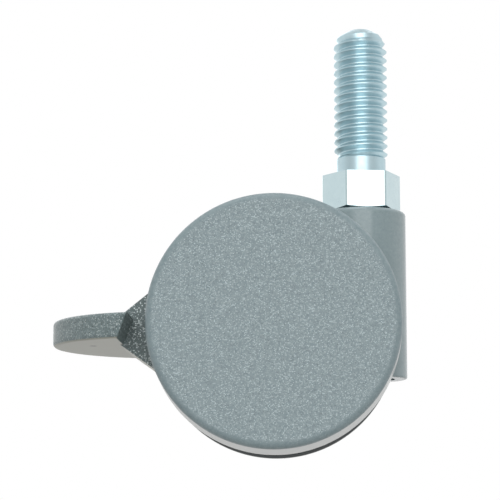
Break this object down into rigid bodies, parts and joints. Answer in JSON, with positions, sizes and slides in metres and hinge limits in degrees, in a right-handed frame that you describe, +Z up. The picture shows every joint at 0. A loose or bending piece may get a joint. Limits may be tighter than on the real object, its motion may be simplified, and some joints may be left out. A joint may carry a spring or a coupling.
{
  "type": "swivel castor",
  "caption": "Twin-wheel swivel castor with a threaded stem, a hexagon collar and a foot lever that locks both wheels.",
  "frame": {"origin": "on the swivel axis, at the seating face on top of the hexagon", "axes": "+Z up along the stem, the wheels trail towards -X, the axle lies along Y"},
  "size_m": [0.0721, 0.05, 0.0883],
  "materials": {
    "zinc_steel": "bright zinc plated, clear passivated",
    "spring_steel": "blued spring steel",
    "bronze": "oiled sintered bronze",
    "housing_nylon": "grey moulded nylon, satin",
    "speckled_nylon": "grey moulded nylon with metallic flecks, satin",
    "lever_nylon": "grey moulded nylon with metallic flecks, satin",
    "core_nylon": "dark grey moulded nylon",
    "tread_rubber": "warm grey non-marking rubber"
  },
  "bodies": {
    "stem": {"threaded_stem": "zinc_steel", "stem_retaining_ring": "spring_steel"},
    "housing": {"swivel_housing": "housing_nylon", "upper_swivel_bush": "bronze", "lower_swivel_bush": "bronze", "thrust_washer": "zinc_steel", "stem_washer": "zinc_steel", "bottom_plug": "housing_nylon", "drag_strip": "spring_steel", "axle": "zinc_steel", "axle_ring_right": "spring_steel", "axle_ring_left": "spring_steel", "spacer_washer_right": "zinc_steel", "spacer_washer_left": "zinc_steel"},
    "wheel_right": {"wheel_core_right": "core_nylon", "wheel_bush_right": "bronze", "tread_right": "tread_rubber", "wheel_cap_right": "speckled_nylon"},
    "wheel_left": {"wheel_core_left": "core_nylon", "wheel_bush_left": "bronze", "tread_left": "tread_rubber", "wheel_cap_left": "speckled_nylon"},
    "brake_lever": {"brake_lever": "lever_nylon"},
    "lock_pin": {"lock_pin": "zinc_steel"}
  },
  "joints": [
    {"name": "swivel", "type": "hinge", "parent": "stem", "child": "housing", "pos_m": [0, 0, -0.02], "axis": [0, 0, 1], "continuous": true},
    {"name": "wheel_right_spin", "type": "hinge", "parent": "housing", "child": "wheel_right", "pos_m": [-0.01775, -0.015, -0.03235], "axis": [0, 1, 0], "continuous": true},
    {"name": "wheel_left_spin", "type": "hinge", "parent": "housing", "child": "wheel_left", "pos_m": [-0.01775, 0.015, -0.03235], "axis": [0, 1, 0], "continuous": true},
    {"name": "brake_lever_tilt", "type": "hinge", "parent": "housing", "child": "brake_lever", "pos_m": [-0.01775, 0, -0.03235], "axis": [0, 1, 0], "range_deg": [-18, 0]},
    {"name": "lock_pin_slide", "type": "slide", "parent": "housing", "child": "lock_pin", "axis": [-0.3746, 0, 0.9272], "range_m": [0, 0.0015]}
  ],
  "couplings": [
    {"joint": "lock_pin_slide", "follows": "brake_lever_tilt", "m_per_rad": -0.0047746}
  ]
}
